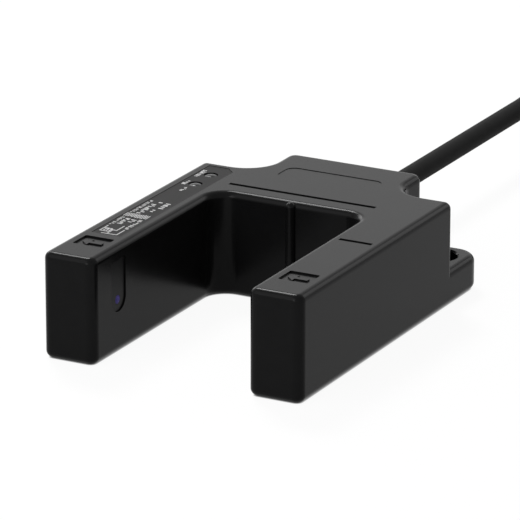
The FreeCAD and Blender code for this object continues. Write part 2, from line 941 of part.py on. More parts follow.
def cable_lead_in():
    """The jacketed stretch of the cable from its inner end to the bush's tail."""
    return rod(cable_radius, V(0, at(jacket_end_depth), cable_height), V(0, at(exit_depth), cable_height))


def ring_radius():
    """The outer radius of the coil's shape."""
    return coil_outer + cable_radius + coil_slack


def stub_length():
    """How far a tangent end of the cable runs before it is clear of the coil."""
    return math.sqrt(ring_radius() ** 2 - (coil_outer - cable_radius) ** 2) + coil_clear


def coil_entry():
    """Where the cable meets the coil and the direction in which it arrives."""
    x, depth = coil_start
    top = cable_radius + coil_slack + cable_diameter * (coil_layers - 1)
    arrive = V(x, at(depth), top)
    return arrive, (arrive - bend_point()).normalize()


def bend_point():
    """The point of the route where the cable leaves its straight stretch."""
    x, depth = cable_bend
    return V(x, at(depth), cable_height)


def coil_centre():
    """The middle of the coil on the floor, to the right of the arriving cable."""
    arrive, heading = coil_entry()
    across = V(heading.y, -heading.x, 0).normalize()
    centre = arrive + across * coil_outer
    return V(centre.x, centre.y, 0)


def cable():
    """The cable's plain tube: straight out of the bush, then on to the top of the coil."""
    arrive, heading = coil_entry()
    route = [V(0, at(exit_depth), cable_height), bend_point(), arrive - heading * stub_length()]
    return tube(route, cable_radius, report=True)


def tail_end():
    """The centre of the jacket's cut at the cable's far end."""
    leave = coil_centre() + V(coil_outer, 0, cable_radius + coil_slack)
    return leave - V(0, stub_length() + tail_length, 0)


def cable_coil():
    """The outer shape of the coil: a rounded ring, with the cable's two ends standing out of it."""
    high = cable_diameter * coil_layers + 2 * coil_slack
    inner = coil_inner - cable_radius - coil_slack
    section = Part.Face(profile(rounded_box(inner, ring_radius(), 0, high, cable_radius)))
    section.rotate(V(0, 0, 0), V(1, 0, 0), 90)
    ring = section.revolve(V(0, 0, 0), V(0, 0, 1), 360)
    centre = coil_centre()
    ring.translate(centre)
    arrive, heading = coil_entry()
    entry = rod(cable_radius, arrive - heading * stub_length(), arrive)
    leave = centre + V(coil_outer, 0, cable_radius + coil_slack)
    return ring.fuse([entry, rod(cable_radius, tail_end(), leave)]).removeSplitter()


def end_core_route(x, z, place):
    """The route of one core from the jacket's cut, down to the floor and spread like a fan."""
    start = tail_end() + V(x, 0, z)
    half, spread = end_core_length / 2, place * end_core_spread
    return [
        start,
        start - V(0, end_core_straight, 0),
        V(start.x + spread / 2, start.y - half, core_radius),
        V(start.x + spread, start.y - end_core_length, core_radius),
    ]


def end_core(x, z, place):
    """One insulated core at the cable's far end."""
    return tube(end_core_route(x, z, place), core_radius)


def core_ends():
    """The bare, twisted and tinned ends of the four cores."""
    made = []
    for spot in core_spots().values():
        route = end_core_route(*spot)
        along = (route[-1] - route[-2]).normalize()
        made.append(rod(bare_diameter / 2, route[-1], route[-1] + along * bare_end))
    return Part.Compound(made)


def single_nodes():
    """The nodes that the sensor has once."""
    return {
        "case": case(),
        "bottom_cover": bottom_cover(),
        "cover_screws": cover_screws(),
        "label": label(),
        "main_board": main_board(),
        "board_screws": board_screws(),
        "comparator_chip": comparator_chip(),
        "output_transistor": output_transistor(),
        "smoothing_capacitor": smoothing_capacitor(),
        "resistors": resistors(),
        "protection_diodes": protection_diodes(),
        "cable_bush": cable_bush(),
        "cable_clamp": cable_clamp(),
        "clamp_screws": clamp_screws(),
        "cable_lead_in": cable_lead_in(),
        "cable": cable(),
        "cable_coil": cable_coil(),
        "core_ends": core_ends(),
    }


def repeated_nodes():
    """The nodes that come in pairs or in fours."""
    nodes = {}
    for name, depth in indicator_depths.items():
        nodes[name + "_indicator_lens"] = indicator_lens(depth)
        nodes[name + "_led"] = indicator_lamp(depth)
    for name, side, element, wires in (
        ("emitter", RIGHT, "diode", emitter_wire_count),
        ("receiver", LEFT, "transistor", receiver_wire_count),
    ):
        nodes[name + "_window"] = on_side(window(), side)
        nodes[name + "_lens"] = on_side(lens(), side)
        nodes[name + "_holder"] = on_side(holder(), side)
        nodes[name + "_" + element] = on_side(diode(), side)
        nodes[name + "_board"] = on_side(arm_board(), side)
        nodes[name + "_wires"] = arm_wires(side, wires)
    for colour, spot in core_spots().items():
        nodes["lead_core_" + colour] = lead_core(*spot)
        nodes["end_core_" + colour] = end_core(*spot)
    return nodes


os.makedirs("parts", exist_ok=True)
for node, shape in {**single_nodes(), **repeated_nodes()}.items():
    shape.exportStep("parts/" + node + ".step")
    print(node, len(shape.Solids), round(shape.Volume, 1), shape.isValid())
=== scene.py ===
import math
import random

import bmesh
import bpy
from bpy.props import FloatProperty, FloatVectorProperty, IntProperty, PointerProperty
from mathutils import Matrix, Vector


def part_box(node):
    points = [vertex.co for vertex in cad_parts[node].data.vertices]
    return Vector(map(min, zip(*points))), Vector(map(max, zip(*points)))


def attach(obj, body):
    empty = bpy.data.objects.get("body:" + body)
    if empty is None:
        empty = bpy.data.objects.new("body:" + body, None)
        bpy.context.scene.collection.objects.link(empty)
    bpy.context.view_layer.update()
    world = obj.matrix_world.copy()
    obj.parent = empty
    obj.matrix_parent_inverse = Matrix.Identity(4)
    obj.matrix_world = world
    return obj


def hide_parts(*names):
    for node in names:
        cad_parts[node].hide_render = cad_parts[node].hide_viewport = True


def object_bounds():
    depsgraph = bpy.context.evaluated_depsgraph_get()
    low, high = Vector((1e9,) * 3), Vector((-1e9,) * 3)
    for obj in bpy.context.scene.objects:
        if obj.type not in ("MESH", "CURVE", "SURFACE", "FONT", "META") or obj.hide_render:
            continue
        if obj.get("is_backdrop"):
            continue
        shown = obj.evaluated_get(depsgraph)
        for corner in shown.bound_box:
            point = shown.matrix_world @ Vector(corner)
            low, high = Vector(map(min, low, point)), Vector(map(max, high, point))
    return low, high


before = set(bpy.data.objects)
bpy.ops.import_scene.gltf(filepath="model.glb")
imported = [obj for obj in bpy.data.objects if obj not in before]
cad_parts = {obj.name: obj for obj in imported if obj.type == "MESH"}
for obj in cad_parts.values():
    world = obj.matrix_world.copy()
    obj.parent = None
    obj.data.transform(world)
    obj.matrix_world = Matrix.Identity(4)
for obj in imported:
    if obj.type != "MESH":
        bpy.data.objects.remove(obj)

bl_info = {
    "name": "Fork Sensor",
    "version": (1, 0, 0),
    "blender": (4, 5, 0),
    "location": "3D View > Sidebar > Fork Sensor",
    "description": "Finishes, label print, cable and studio of a fork light-barrier sensor",
    "category": "Object",
}

# The scene is in metres, and sizes are written in millimetres
MM = 0.001
CAD_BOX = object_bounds()
ROOT = "root"
TIP_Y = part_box("case")[0].y
LABEL_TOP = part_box("label")[1].z
EXIT_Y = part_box("cable_lead_in")[1].y


def at(depth):
    """The Y, in metres, of a place that lies that many millimetres behind the arm tips."""
    return TIP_Y + depth * MM


# Helpers for materials and meshes


# Most of a noise's values lie between these two
NOISE_RANGE = (0.3, 0.7)
# Detail of the noises that make a grain or an uneven gloss
FINE_DETAIL = 3.0
# The Mix node's colour sockets, whose names its other sockets have too
MIX_FIRST, MIX_SECOND, MIX_RESULT = 6, 7, 2


def scaled(colour, factor):
    """A colour made darker or lighter by a factor."""
    return [channel * factor for channel in colour]


class Finish:
    """A material with one Principled shader, and the nodes that give it its detail."""

    def __init__(self, name, colour, roughness, specular=0.5, metallic=0.0):
        self.material = bpy.data.materials.new(name)
        self.material.use_nodes = True
        self.tree = self.material.node_tree
        self.shader = self.tree.nodes["Principled BSDF"]
        self.colour = tuple(colour)
        self.set("Base Color", (*self.colour, 1.0))
        self.set("Roughness", roughness)
        self.set("Specular IOR Level", specular)
        self.set("Metallic", metallic)
        self.place = self.tree.nodes.new("ShaderNodeTexCoord").outputs["Object"]

    def set(self, socket, value):
        """Sets a value on the shader's own socket."""
        self.shader.inputs[socket].default_value = value

    def node(self, kind, **values):
        """A new node with these settings."""
        made = self.tree.nodes.new(kind)
        for name, value in values.items():
            setattr(made, name, value)
        return made

    def link(self, start, end):
        """Joins an output to an input."""
        self.tree.links.new(start, end)

    def stretched(self, factors):
        """The object's coordinates, scaled along each axis."""
        mapping = self.node("ShaderNodeMapping")
        mapping.inputs["Scale"].default_value = factors
        self.link(self.place, mapping.inputs["Vector"])
        return mapping.outputs["Vector"]

    def noise(self, size, detail=2.0, place=None):
        """A soft noise whose blots are about size metres wide."""
        made = self.node("ShaderNodeTexNoise")
        made.inputs["Scale"].default_value = 1.0 / size
        made.inputs["Detail"].default_value = detail
        self.link(place or self.place, made.inputs["Vector"])
        return made.outputs["Fac"]

    def mix(self, factor, first, second):
        """A colour between two others, by a factor that varies over the surface."""
        made = self.node("ShaderNodeMix", data_type="RGBA")
        self.link(factor, made.inputs["Factor"])
        made.inputs[MIX_FIRST].default_value = (*first, 1.0)
        made.inputs[MIX_SECOND].default_value = (*second, 1.0)
        return made.outputs[MIX_RESULT]

    def range(self, value, low, high, start=0.0, end=1.0):
        """A value brought from one range to another."""
        made = self.node("ShaderNodeMapRange")
        self.link(value, made.inputs["Value"])
        made.inputs["From Min"].default_value = start
        made.inputs["From Max"].default_value = end
        made.inputs["To Min"].default_value = low
        made.inputs["To Max"].default_value = high
        return made.outputs["Result"]

    def mottled(self, size, spread):
        """Lets the colour vary by spread over blots of that size."""
        darker = scaled(self.colour, 1.0 - spread)
        lighter = [min(1.0, channel) for channel in scaled(self.colour, 1.0 + spread)]
        factor = self.range(self.noise(size), 0.0, 1.0, *NOISE_RANGE)
        self.link(self.mix(factor, darker, lighter), self.shader.inputs["Base Color"])
        return self

    def uneven_gloss(self, size, low, high):
        """Lets the roughness vary between two values."""
        value = self.range(self.noise(size, FINE_DETAIL), low, high, *NOISE_RANGE)
        self.link(value, self.shader.inputs["Roughness"])
        return self

    def bumped(self, height, depth):
        """Raises the surface by a pattern, at most depth metres high."""
        bump = self.node("ShaderNodeBump")
        bump.inputs["Strength"].default_value = 1.0
        bump.inputs["Distance"].default_value = depth
        self.link(height, bump.inputs["Height"])
        self.link(bump.outputs["Normal"], self.shader.inputs["Normal"])
        return self

    def grained(self, size, depth):
        """Gives the surface a fine grain."""
        return self.bumped(self.noise(size, FINE_DETAIL), depth)


def dress(obj, finish):
    """Gives an object one material all over."""
    obj.data.materials.clear()
    obj.data.materials.append(finish.material)


def dress_nodes(finish, *names):
    """Gives CAD nodes one material each all over."""
    for name in names:
        dress(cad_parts[name], finish)


def new_object(name, data):
    """A new object in the scene."""
    obj = bpy.data.objects.new(name, data)
    bpy.context.scene.collection.objects.link(obj)
    return obj


def mesh_object(name, fill):
    """A new object whose mesh is made by the function fill."""
    mesh = bpy.data.meshes.new(name)
    work = bmesh.new()
    fill(work)
    work.to_mesh(mesh)
    work.free()
    return new_object(name, mesh)


# Sizes and colours that a user would change


class SensorFinish(bpy.types.PropertyGroup):
    """Colours and gloss of what shows on the outside"""

    case_colour: FloatVectorProperty(
        name="Case", description="Colour of the moulded case", subtype="COLOR",
        default=(0.0066, 0.0066, 0.0068), min=0.0, max=1.0)
    case_roughness: FloatProperty(
        name="Case roughness", description="How matt the moulded case is", default=0.21, min=0.0, max=1.0)
    case_gloss: FloatProperty(
        name="Case gloss", description="How strongly the case reflects", default=0.064, min=0.0, max=1.0)
    grain_size: FloatProperty(
        name="Grain", description="Width of one grain of the moulded surface", subtype="DISTANCE",
        unit="LENGTH", default=0.18 * MM, min=0.0)
    label_colour: FloatVectorProperty(
        name="Label", description="Colour of the label's film", subtype="COLOR",
        default=(0.006, 0.0057, 0.0057), min=0.0, max=1.0)
    print_colour: FloatVectorProperty(
        name="Print", description="Colour of the marks on the label", subtype="COLOR",
        default=(0.64, 0.64, 0.64), min=0.0, max=1.0)
    lens_colour: FloatVectorProperty(
        name="Optics", description="Colour of the small lenses in the arms", subtype="COLOR",
        default=(0.1, 0.08, 0.3), min=0.0, max=1.0)
    cable_colour: FloatVectorProperty(
        name="Cable", description="Colour of the cable's jacket", subtype="COLOR",
        default=(0.014, 0.014, 0.014), min=0.0, max=1.0)


class SensorCable(bpy.types.PropertyGroup):
    """Sizes and route of the cable"""

    diameter: FloatProperty(
        name="Diameter", description="Diameter of the cable", subtype="DISTANCE", unit="LENGTH",
        default=6.5 * MM)
    length: FloatProperty(
        name="Length", description="Length of the cable outside the case", subtype="DISTANCE",
        unit="LENGTH", default=2.0)
    straight_end: FloatVectorProperty(
        name="Straight end", description="Where the cable leaves its straight stretch",
        subtype="XYZ", unit="LENGTH", default=(0.0, at(250.0), 17.6 * MM))
    coil_start: FloatVectorProperty(
        name="Coil start", description="Where the cable meets the coil", subtype="XYZ",
        unit="LENGTH", default=(-14.0 * MM, at(304.0), 22.85 * MM))
    coil_outer: FloatProperty(
        name="Outer turn", description="Radius of the coil's outer turn", subtype="DISTANCE",
        unit="LENGTH", default=40.5 * MM)
    coil_inner: FloatProperty(
        name="Inner turn", description="Radius of the coil's inner turn", subtype="DISTANCE",
        unit="LENGTH", default=26.5 * MM)
    layers: IntProperty(name="Layers", description="Layers of turns in the coil", default=4, min=1)
    whole_turns: IntProperty(name="Turns", description="Whole turns in the coil", default=8, min=1)
    tail: FloatProperty(
        name="Tail", description="Length of jacket from the coil's end to its cut", subtype="DISTANCE",
        unit="LENGTH", default=28.63 * MM)


class SensorStudio(bpy.types.PropertyGroup):
    """Camera, softboxes, surround and floor"""

    camera_place: FloatVectorProperty(
        name="Camera", description="Where the camera stands", subtype="XYZ", unit="LENGTH",
        default=(0.627027, -1.182966, 0.478496))
    camera_turn: FloatProperty(
        name="Turn", description="Turn of the camera about the vertical", subtype="ANGLE",
        unit="ROTATION", default=math.radians(28.015))
    camera_drop: FloatProperty(
        name="Drop", description="How far the camera looks down", subtype="ANGLE", unit="ROTATION",
        default=math.radians(18.9475))
    camera_roll: FloatProperty(
        name="Roll", description="Roll of the camera about its own axis", subtype="ANGLE",
        unit="ROTATION", default=math.radians(0.023))
    camera_lens: FloatProperty(
        name="Lens", description="Focal length on a sensor 36 mm wide", subtype="DISTANCE_CAMERA",
        default=331.861)
    back_lamp: FloatProperty(
        name="Back lamp", description="Power of the softbox above and behind the sensor", subtype="POWER",
        default=9.0, min=0.0)
    front_lamp: FloatProperty(
        name="Front lamp", description="Power of the softbox in front of the sensor", subtype="POWER",
        default=4.0, min=0.0)
    left_lamp: FloatProperty(
        name="Left lamp", description="Power of the softbox to the front left", subtype="POWER",
        default=3.6, min=0.0)
    rim_lamp: FloatProperty(
        name="Rim lamp", description="Power of the softbox that lights the edges from the right rear",
        subtype="POWER", default=1.3, min=0.0)
    sky_lamp: FloatProperty(
        name="Sky lamp", description="Power of the wide softbox that the top face mirrors", subtype="POWER",
        default=0.65, min=0.0)
    side_lamp: FloatProperty(
        name="Side lamp", description="Power of the low softbox to the left rear", subtype="POWER",
        default=2.6, min=0.0)
    surround: FloatProperty(
        name="Surround", description="Brightness of the surround as it lights the sensor",
        default=0.2, min=0.0)
    floor_shade: FloatProperty(
        name="Floor shade", description="Share of the floor's brightness that a shadow takes away",
        default=0.08, min=0.0, max=1.0)


# Case


# How far the case's roughness strays to either side
GLOSS_SPREAD = 0.02
# The hidden cover's colour, as a share of the case's
COVER_SHADE = 0.8


def case_finish(values):
    """Black glass-filled plastic with a fine moulded grain."""
    roughness = values.case_roughness
    finish = Finish("moulded black plastic", values.case_colour, roughness, values.case_gloss)
    finish.mottled(size=6.0 * MM, spread=0.08)
    finish.uneven_gloss(size=1.5 * MM, low=roughness - GLOSS_SPREAD, high=roughness + GLOSS_SPREAD)
    return finish.grained(values.grain_size, depth=0.003 * MM)


def cover_finish(values):
    """The same plastic, a little darker and more matt."""
    colour = scaled(values.case_colour, COVER_SHADE)
    finish = Finish("cover plastic", colour, roughness=0.45, specular=values.case_gloss)
    return finish.mottled(size=8.0 * MM, spread=0.1).grained(values.grain_size, depth=0.008 * MM)


class FORKSENSOR_OT_case(bpy.types.Operator):
    """Finish the moulded case and its bottom cover"""

    bl_idname = "forksensor.case"
    bl_label = "Case and Cover"

    def execute(self, context):
        values = context.scene.sensor_finish
        dress_nodes(case_finish(values), "case")
        dress_nodes(cover_finish(values), "bottom_cover")
        return {"FINISHED"}


# Label


# All places on the label are X and depth in millimetres.
# Each row of ticks: low and high X, front and rear depth, and the width of one tick
PRINT_ROWS = (
    (-37.7, -36.2, 83.1, 87.8, 0.34),
    (-37.9, -36.0, 87.8, 89.6, 0.4),
    (-37.7, -36.2, 74.7, 78.4, 0.6),
    (-34.9, -33.6, 68.7, 72.5, 0.5),
    (-37.8, -36.7, 44.1, 56.8, 0.45),
    (-35.7, -33.9, 44.1, 55.0, 0.6),
    (-35.7, -33.3, 55.4, 56.9, 0.7),
    (-32.7, -30.9, 46.9, 49.8, 0.6),
    (-32.0, -30.4, 50.6, 56.6, 0.6),
    (-37.7, -36.6, 31.4, 39.4, 0.5),
    (-35.9, -34.4, 33.0, 38.8, 0.5),
    (-33.8, -32.1, 35.6, 38.8, 0.5),
    (-31.5, -30.2, 29.4, 38.8, 0.55),
)
# Each tick draws how much of the row's width it leaves out, and its pitch in widths of a tick
TICK_CUTS = (0.0, 0.15, 0.3, 0.5)
TICK_PITCHES = (1.4, 1.7, 2.0, 2.4)
# The column of crosswise bars: low and high X, front and rear depth, width and pitch of one bar
PRINT_BARS = (-38.0, -29.8, 39.8, 43.4, 0.32, 0.68)
# How far at most a bar stops short of the column's front and of its rear
FRONT_CUT = 0.8
REAR_CUT = 0.4
# The strokes of the small diagram at the label's front end
PRINT_STROKES = (
    ((-34.5, 27.6), (-34.5, 25.2), (-37.2, 25.2), (-37.2, 30.0)),
    ((-37.2, 27.9), (-34.5, 27.9)),
    ((-36.3, 25.9), (-36.3, 27.4), (-35.4, 27.4), (-35.4, 25.9)),
    ((-35.6, 23.4), (-30.7, 23.6), (-30.7, 28.2)),
    ((-34.5, 27.2), (-32.6, 27.0), (-32.6, 31.4)),
    ((-33.9, 23.4), (-33.9, 27.0)),
)
STROKE_WIDTH = 0.34
PRINT_SEED = 7
INK_HEIGHT = 0.012 * MM
# Each plate of ink is this much thicker for every corner made before it, so that no two tops lie in one
# plane where strokes meet
INK_STEP = 0.00005 * MM
# The label's gloss, as a share of the case's
LABEL_GLOSS = 0.68


def add_ink(work, corners):
    """Adds a thin plate of ink over an outline on the label."""
    top = LABEL_TOP + INK_HEIGHT + INK_STEP * len(work.verts)
    base = [work.verts.new((x * MM, at(depth), LABEL_TOP)) for x, depth in corners]
    lid = [work.verts.new((x * MM, at(depth), top)) for x, depth in corners]
    work.faces.new(lid)
    work.faces.new(base[::-1])
    for i in range(len(corners)):
        work.faces.new((base[i - 1], base[i], lid[i], lid[i - 1]))


def add_rectangle(work, x_low, x_high, front, rear):
    """Adds a rectangle of ink between two X and two depths."""
    add_ink(work, [(x_low, front), (x_high, front), (x_high, rear), (x_low, rear)])


def add_stroke(work, start, end):
    """Adds a straight stroke of ink, lengthened by half its width at both ends."""
    start, end = Vector(start), Vector(end)
    along = (end - start).normalized() * STROKE_WIDTH / 2.0
    across = Vector((along.y, -along.x))
    start, end = start - along, end + along
    add_ink(work, [start - across, start + across, end + across, end - across])


def add_ticks(work, draw, x_low, x_high, front, rear, tick):
    """Adds a row of short ticks of uneven length and pitch."""
    depth = front
    while depth + tick < rear:
        short = draw.choice(TICK_CUTS) * (x_high - x_low)
        low = x_low + draw.choice((0.0, short))
        add_rectangle(work, low, low + x_high - x_low - short, depth, depth + tick)
        depth += tick * draw.choice(TICK_PITCHES)


def fill_print(work):
    """Fills the label with rows of ticks, crosswise bars and a small diagram."""
    draw = random.Random(PRINT_SEED)
    for row in PRINT_ROWS:
        add_ticks(work, draw, *row)
    x, x_high, front, rear, width, pitch = PRINT_BARS
    while x + width < x_high:
        bar_front = front + draw.uniform(0.0, FRONT_CUT)
        bar_rear = rear - draw.uniform(0.0, REAR_CUT)
        add_rectangle(work, x, x + width, bar_front, bar_rear)
        x += pitch
    for points in PRINT_STROKES:
        for start, end in zip(points, points[1:]):
            add_stroke(work, start, end)


def film_finish(values):
    """The label's black film, a little more matt than the case."""
    gloss = values.case_gloss * LABEL_GLOSS
    finish = Finish("label film", values.label_colour, roughness=0.38, specular=gloss)
    return finish.mottled(size=3.0 * MM, spread=0.06).grained(size=0.3 * MM, depth=0.002 * MM)


def ink_finish(values):
    """White ink, a little uneven."""
    finish = Finish("white ink", values.print_colour, roughness=0.6, specular=0.3)
    return finish.mottled(size=0.5 * MM, spread=0.25)


class FORKSENSOR_OT_label(bpy.types.Operator):
    """Finish the label and print its marks"""

    bl_idname = "forksensor.label"
    bl_label = "Label and Print"

    def execute(self, context):
        values = context.scene.sensor_finish
        dress_nodes(film_finish(values), "label")
        marks = mesh_object("label_print", fill_print)
        dress(marks, ink_finish(values))
        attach(marks, ROOT)
        return {"FINISHED"}


# Optics


# How far each dome's top stands above the dome's own edge, and above the label
DOME_RISE = 0.42 * MM
DOME_LIFT = 0.06 * MM
DOME_RINGS = 8
DOME_SIDES = 48
# The points of a CAD lens beyond this share of its radius belong to its rim
RIM_SHARE = 0.9
# Points closer together than this are one
WELD = 0.001 * MM
# The windows' colour, as a share of the case's
WINDOW_SHADE = 0.9
# Each lamp or diode: its resin's name and colour, and its node
RESINS = (
    ("green lamp resin", (0.05, 0.3, 0.08), "power_led"),
    ("orange lamp resin", (0.45, 0.14, 0.03), "output_led"),
    ("bluish diode resin", (0.35, 0.38, 0.6), "emitter_diode"),
    ("dark diode resin", (0.012, 0.012, 0.02), "receiver_transistor"),
)


def dome_profile(node):
    """An indicator lens's centre, and its outline as radius and height: dome, stem, rim and stem again."""
    low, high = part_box(node)
    centre = (low + high) / 2.0
    places = [(math.hypot(vert.co.x - centre.x, vert.co.y - centre.y), vert.co.z)
              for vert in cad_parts[node].data.vertices]
    rim_radius = high.x - centre.x
    rim_start = rim_radius * RIM_SHARE
    rim = [height for radius, height in places if radius > rim_start]
    radius = max(radius for radius, height in places if radius < rim_start)
    top = LABEL_TOP + DOME_LIFT
    ball = (radius ** 2 + DOME_RISE ** 2) / (2.0 * DOME_RISE)
    half = math.asin(radius / ball)
    arc = [half * i / DOME_RINGS for i in range(DOME_RINGS + 1)]
    dome = [(ball * math.sin(a), top - ball * (1.0 - math.cos(a))) for a in arc]
    return centre, dome + [
        (radius, max(rim)), (rim_radius, max(rim)), (rim_radius, min(rim)), (radius, min(rim)),
        (radius, low.z), (0.0, low.z)]


def fill_dome(work, node):
    """Turns the lens's outline once round its axis."""
    centre, profile = dome_profile(node)
    line = [work.verts.new((centre.x + radius, centre.y, height)) for radius, height in profile]
    edges = [work.edges.new(pair) for pair in zip(line, line[1:])]
    bmesh.ops.spin(
        work, geom=line + edges, cent=(centre.x, centre.y, 0.0), axis=(0.0, 0.0, 1.0),
        angle=math.tau, steps=DOME_SIDES, use_merge=True)
    bmesh.ops.remove_doubles(work, verts=work.verts, dist=WELD)
    bmesh.ops.recalc_face_normals(work, faces=work.faces)
    dome_edge = profile[DOME_RINGS][1] - WELD
    for face in work.faces:
        face.smooth = min(vert.co.z for vert in face.verts) > dome_edge


def window_finish(values):
    """Dark plastic that lets only infrared light through."""
    colour = scaled(values.case_colour, WINDOW_SHADE)
    finish = Finish("window plastic", colour, roughness=0.3, specular=values.case_gloss)
    return finish.mottled(size=4.0 * MM, spread=0.08).grained(size=0.25 * MM, depth=0.002 * MM)


def lens_finish(values):
    """The small lenses' violet plastic."""
    finish = Finish("violet lens", values.lens_colour, roughness=0.6, specular=0.1)
    return finish.mottled(size=0.8 * MM, spread=0.2)


def dome_finish():
    """Smoked clear plastic with a slightly wavy surface."""
    finish = Finish("smoked dome", (0.004, 0.004, 0.0045), roughness=0.2, specular=0.15)
    finish.set("Transmission Weight", 0.2)
    return finish.grained(size=1.6 * MM, depth=0.08 * MM)


def resin_finish(name, colour):
    """The clear cast resin of a lamp or diode."""
    finish = Finish(name, colour, roughness=0.15)
    finish.set("Transmission Weight", 0.4)
    return finish.mottled(size=1.2 * MM, spread=0.15)


def add_dome(use, finish):
    """Puts a finer dome in place of the CAD's lens over one indicator."""
    node = use + "_indicator_lens"
    lens_piece = mesh_object(use + "_dome", lambda work: fill_dome(work, node))
    dress(lens_piece, finish)
    dress_nodes(finish, node)
    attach(lens_piece, ROOT)
    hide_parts(node)


class FORKSENSOR_OT_optics(bpy.types.Operator):
    """Finish the windows, the small lenses, the indicator domes and what stands behind them"""

    bl_idname = "forksensor.optics"
    bl_label = "Optics and Indicators"

    def execute(self, context):
        values = context.scene.sensor_finish
        dress_nodes(window_finish(values), "emitter_window", "receiver_window")
        dress_nodes(lens_finish(values), "emitter_lens", "receiver_lens")
        smoked = dome_finish()
        for use in ("power", "output"):
            add_dome(use, smoked)
        for name, colour, node in RESINS:
            dress_nodes(resin_finish(name, colour), node)
        return {"FINISHED"}


# Inner parts


# The copper tracks on the boards run like the joints of a brick wall: the width of two bricks, half a
# track's width as a share of it, and the tracks' colour
TRACK_UNIT = 9.0 * MM
TRACK_SHARE = 0.035
TRACK_COLOUR = (0.03, 0.16, 0.06)


def laminate_finish():
    """Green board laminate, with the copper tracks showing as slightly lighter lines."""
    finish = Finish("board laminate", (0.012, 0.09, 0.035), roughness=0.35)
    tracks = finish.node("ShaderNodeTexBrick")
    tracks.inputs["Scale"].default_value = 1.0 / TRACK_UNIT
    tracks.inputs["Mortar Size"].default_value = TRACK_SHARE
    finish.link(finish.place, tracks.inputs["Vector"])
    colour = finish.mix(tracks.outputs["Fac"], finish.colour, TRACK_COLOUR)
    finish.link(colour, finish.shader.inputs["Base Color"])
    return finish.bumped(tracks.outputs["Fac"], depth=0.03 * MM)


def epoxy_finish():
    """The matt black epoxy of the chip and the transistor."""
    finish = Finish("chip epoxy", (0.015, 0.015, 0.016), roughness=0.6, specular=0.4)
    return finish.mottled(size=1.0 * MM, spread=0.15).grained(size=0.1 * MM, depth=0.01 * MM)


def can_finish():
    """The capacitor's satin aluminium can."""
    finish = Finish("capacitor can", (0.5, 0.51, 0.53), roughness=0.35, metallic=0.9)
    return finish.uneven_gloss(size=0.8 * MM, low=0.28, high=0.42).grained(size=0.4 * MM, depth=0.004 * MM)


def glaze_finish():
    """The resistors' black glaze."""
    finish = Finish("resistor glaze", (0.02, 0.02, 0.024), roughness=0.2)
    return finish.mottled(size=0.6 * MM, spread=0.2)


def glass_finish():
    """The diodes' orange glass."""
    finish = Finish("diode glass", (0.32, 0.06, 0.02), roughness=0.15)
    return finish.mottled(size=0.8 * MM, spread=0.3)


def holder_finish():
    """The matt black plastic of the holders and the clamp."""
    finish = Finish("holder plastic", (0.01, 0.01, 0.01), roughness=0.5, specular=0.4)
    return finish.mottled(size=2.0 * MM, spread=0.1).grained(size=0.2 * MM, depth=0.008 * MM)


def wire_finish():
    """The black insulation of the wires in the arms."""
    finish = Finish("wire sleeve", (0.02, 0.02, 0.02), roughness=0.3)
    return finish.mottled(size=1.5 * MM, spread=0.15).grained(size=0.5 * MM, depth=0.006 * MM)


class FORKSENSOR_OT_inner_parts(bpy.types.Operator):
    """Finish the boards and everything on them, the wires and the holders"""

    bl_idname = "forksensor.inner_parts"
    bl_label = "Inner Parts"

    def execute(self, context):
        dress_nodes(laminate_finish(), "main_board", "emitter_board", "receiver_board")
        dress_nodes(epoxy_finish(), "comparator_chip", "output_transistor")
        dress_nodes(can_finish(), "smoothing_capacitor")
        dress_nodes(glaze_finish(), "resistors")
        dress_nodes(glass_finish(), "protection_diodes")
        dress_nodes(holder_finish(), "emitter_holder", "receiver_holder", "cable_clamp")
        dress_nodes(wire_finish(), "emitter_wires", "receiver_wires")
        return {"FINISHED"}


# Screws


def steel_finish():
    """Zinc plated steel with fine turning marks."""
    finish = Finish("zinc plated steel", (0.46, 0.46, 0.47), roughness=0.32, metallic=1.0)
    finish.mottled(size=0.7 * MM, spread=0.12)
    finish.uneven_gloss(size=0.25 * MM, low=0.24, high=0.42)
    marks = finish.noise(size=0.12 * MM, place=finish.stretched((1.0, 1.0, 4.0)))
    return finish.bumped(marks, depth=0.006 * MM)


class FORKSENSOR_OT_screws(bpy.types.Operator):
    """Finish the screws of the cover, the board and the cable clamp"""

    bl_idname = "forksensor.screws"
    bl_label = "Screws"

    def execute(self, context):
        dress_nodes(steel_finish(), "cover_screws", "board_screws", "clamp_screws")
        return {"FINISHED"}


# Cable


CORE_COLOURS = {
    "brown": (0.11, 0.042, 0.016),
    "blue": (0.018, 0.07, 0.33),
    "black": (0.012, 0.012, 0.012),
    "white": (0.68, 0.68, 0.66),
}
# Depth, in millimetres, of the point that keeps the cable straight behind its bush
STRAIGHT_DEPTH = 224.0
TURN_POINTS = 16
# A turn's radius as a share of the radius on which its control points stand. The spline cuts their corners
# by half of what this allows for, so the turns come out about 2% wider than they are given.
TURN_SHARE = (1.0 + math.cos(math.tau / TURN_POINTS)) / 2.0
# The cable steps down to the next layer over this share of a layer on either side of the change
STEP_SHARE = 0.06
STRAND_RADIUS = 0.15 * MM
STRAND_PITCH = 4.5 * MM
STRAND_STEPS = 24
STRAND_SIDES = 8
WOUND_STRANDS = 6
# A wound strand is short by at most this share of its length
STRAND_CUT = 0.05
STRAND_SEED = 3
# The bare core ends of the CAD lie further apart than this, and their own points closer together
CORE_GAP = 8.0 * STRAND_RADIUS


def eased(value):
    """A value from 0 to 1 that starts and ends gently."""
    value = min(1.0, max(0.0, value))
    return value * value * (3.0 - 2.0 * value)


def layers_down(layer, gone, layers):
    """How many layers down the cable is, when that share of its layer is behind it."""
    drop = layer
    if gone > 1.0 - STEP_SHARE and layer < layers - 1:
        drop += eased((gone - 1.0 + STEP_SHARE) / (2.0 * STEP_SHARE))
    if gone < STEP_SHARE and layer > 0:
        drop += eased((gone + STEP_SHARE) / (2.0 * STEP_SHARE)) - 1.0
    return drop


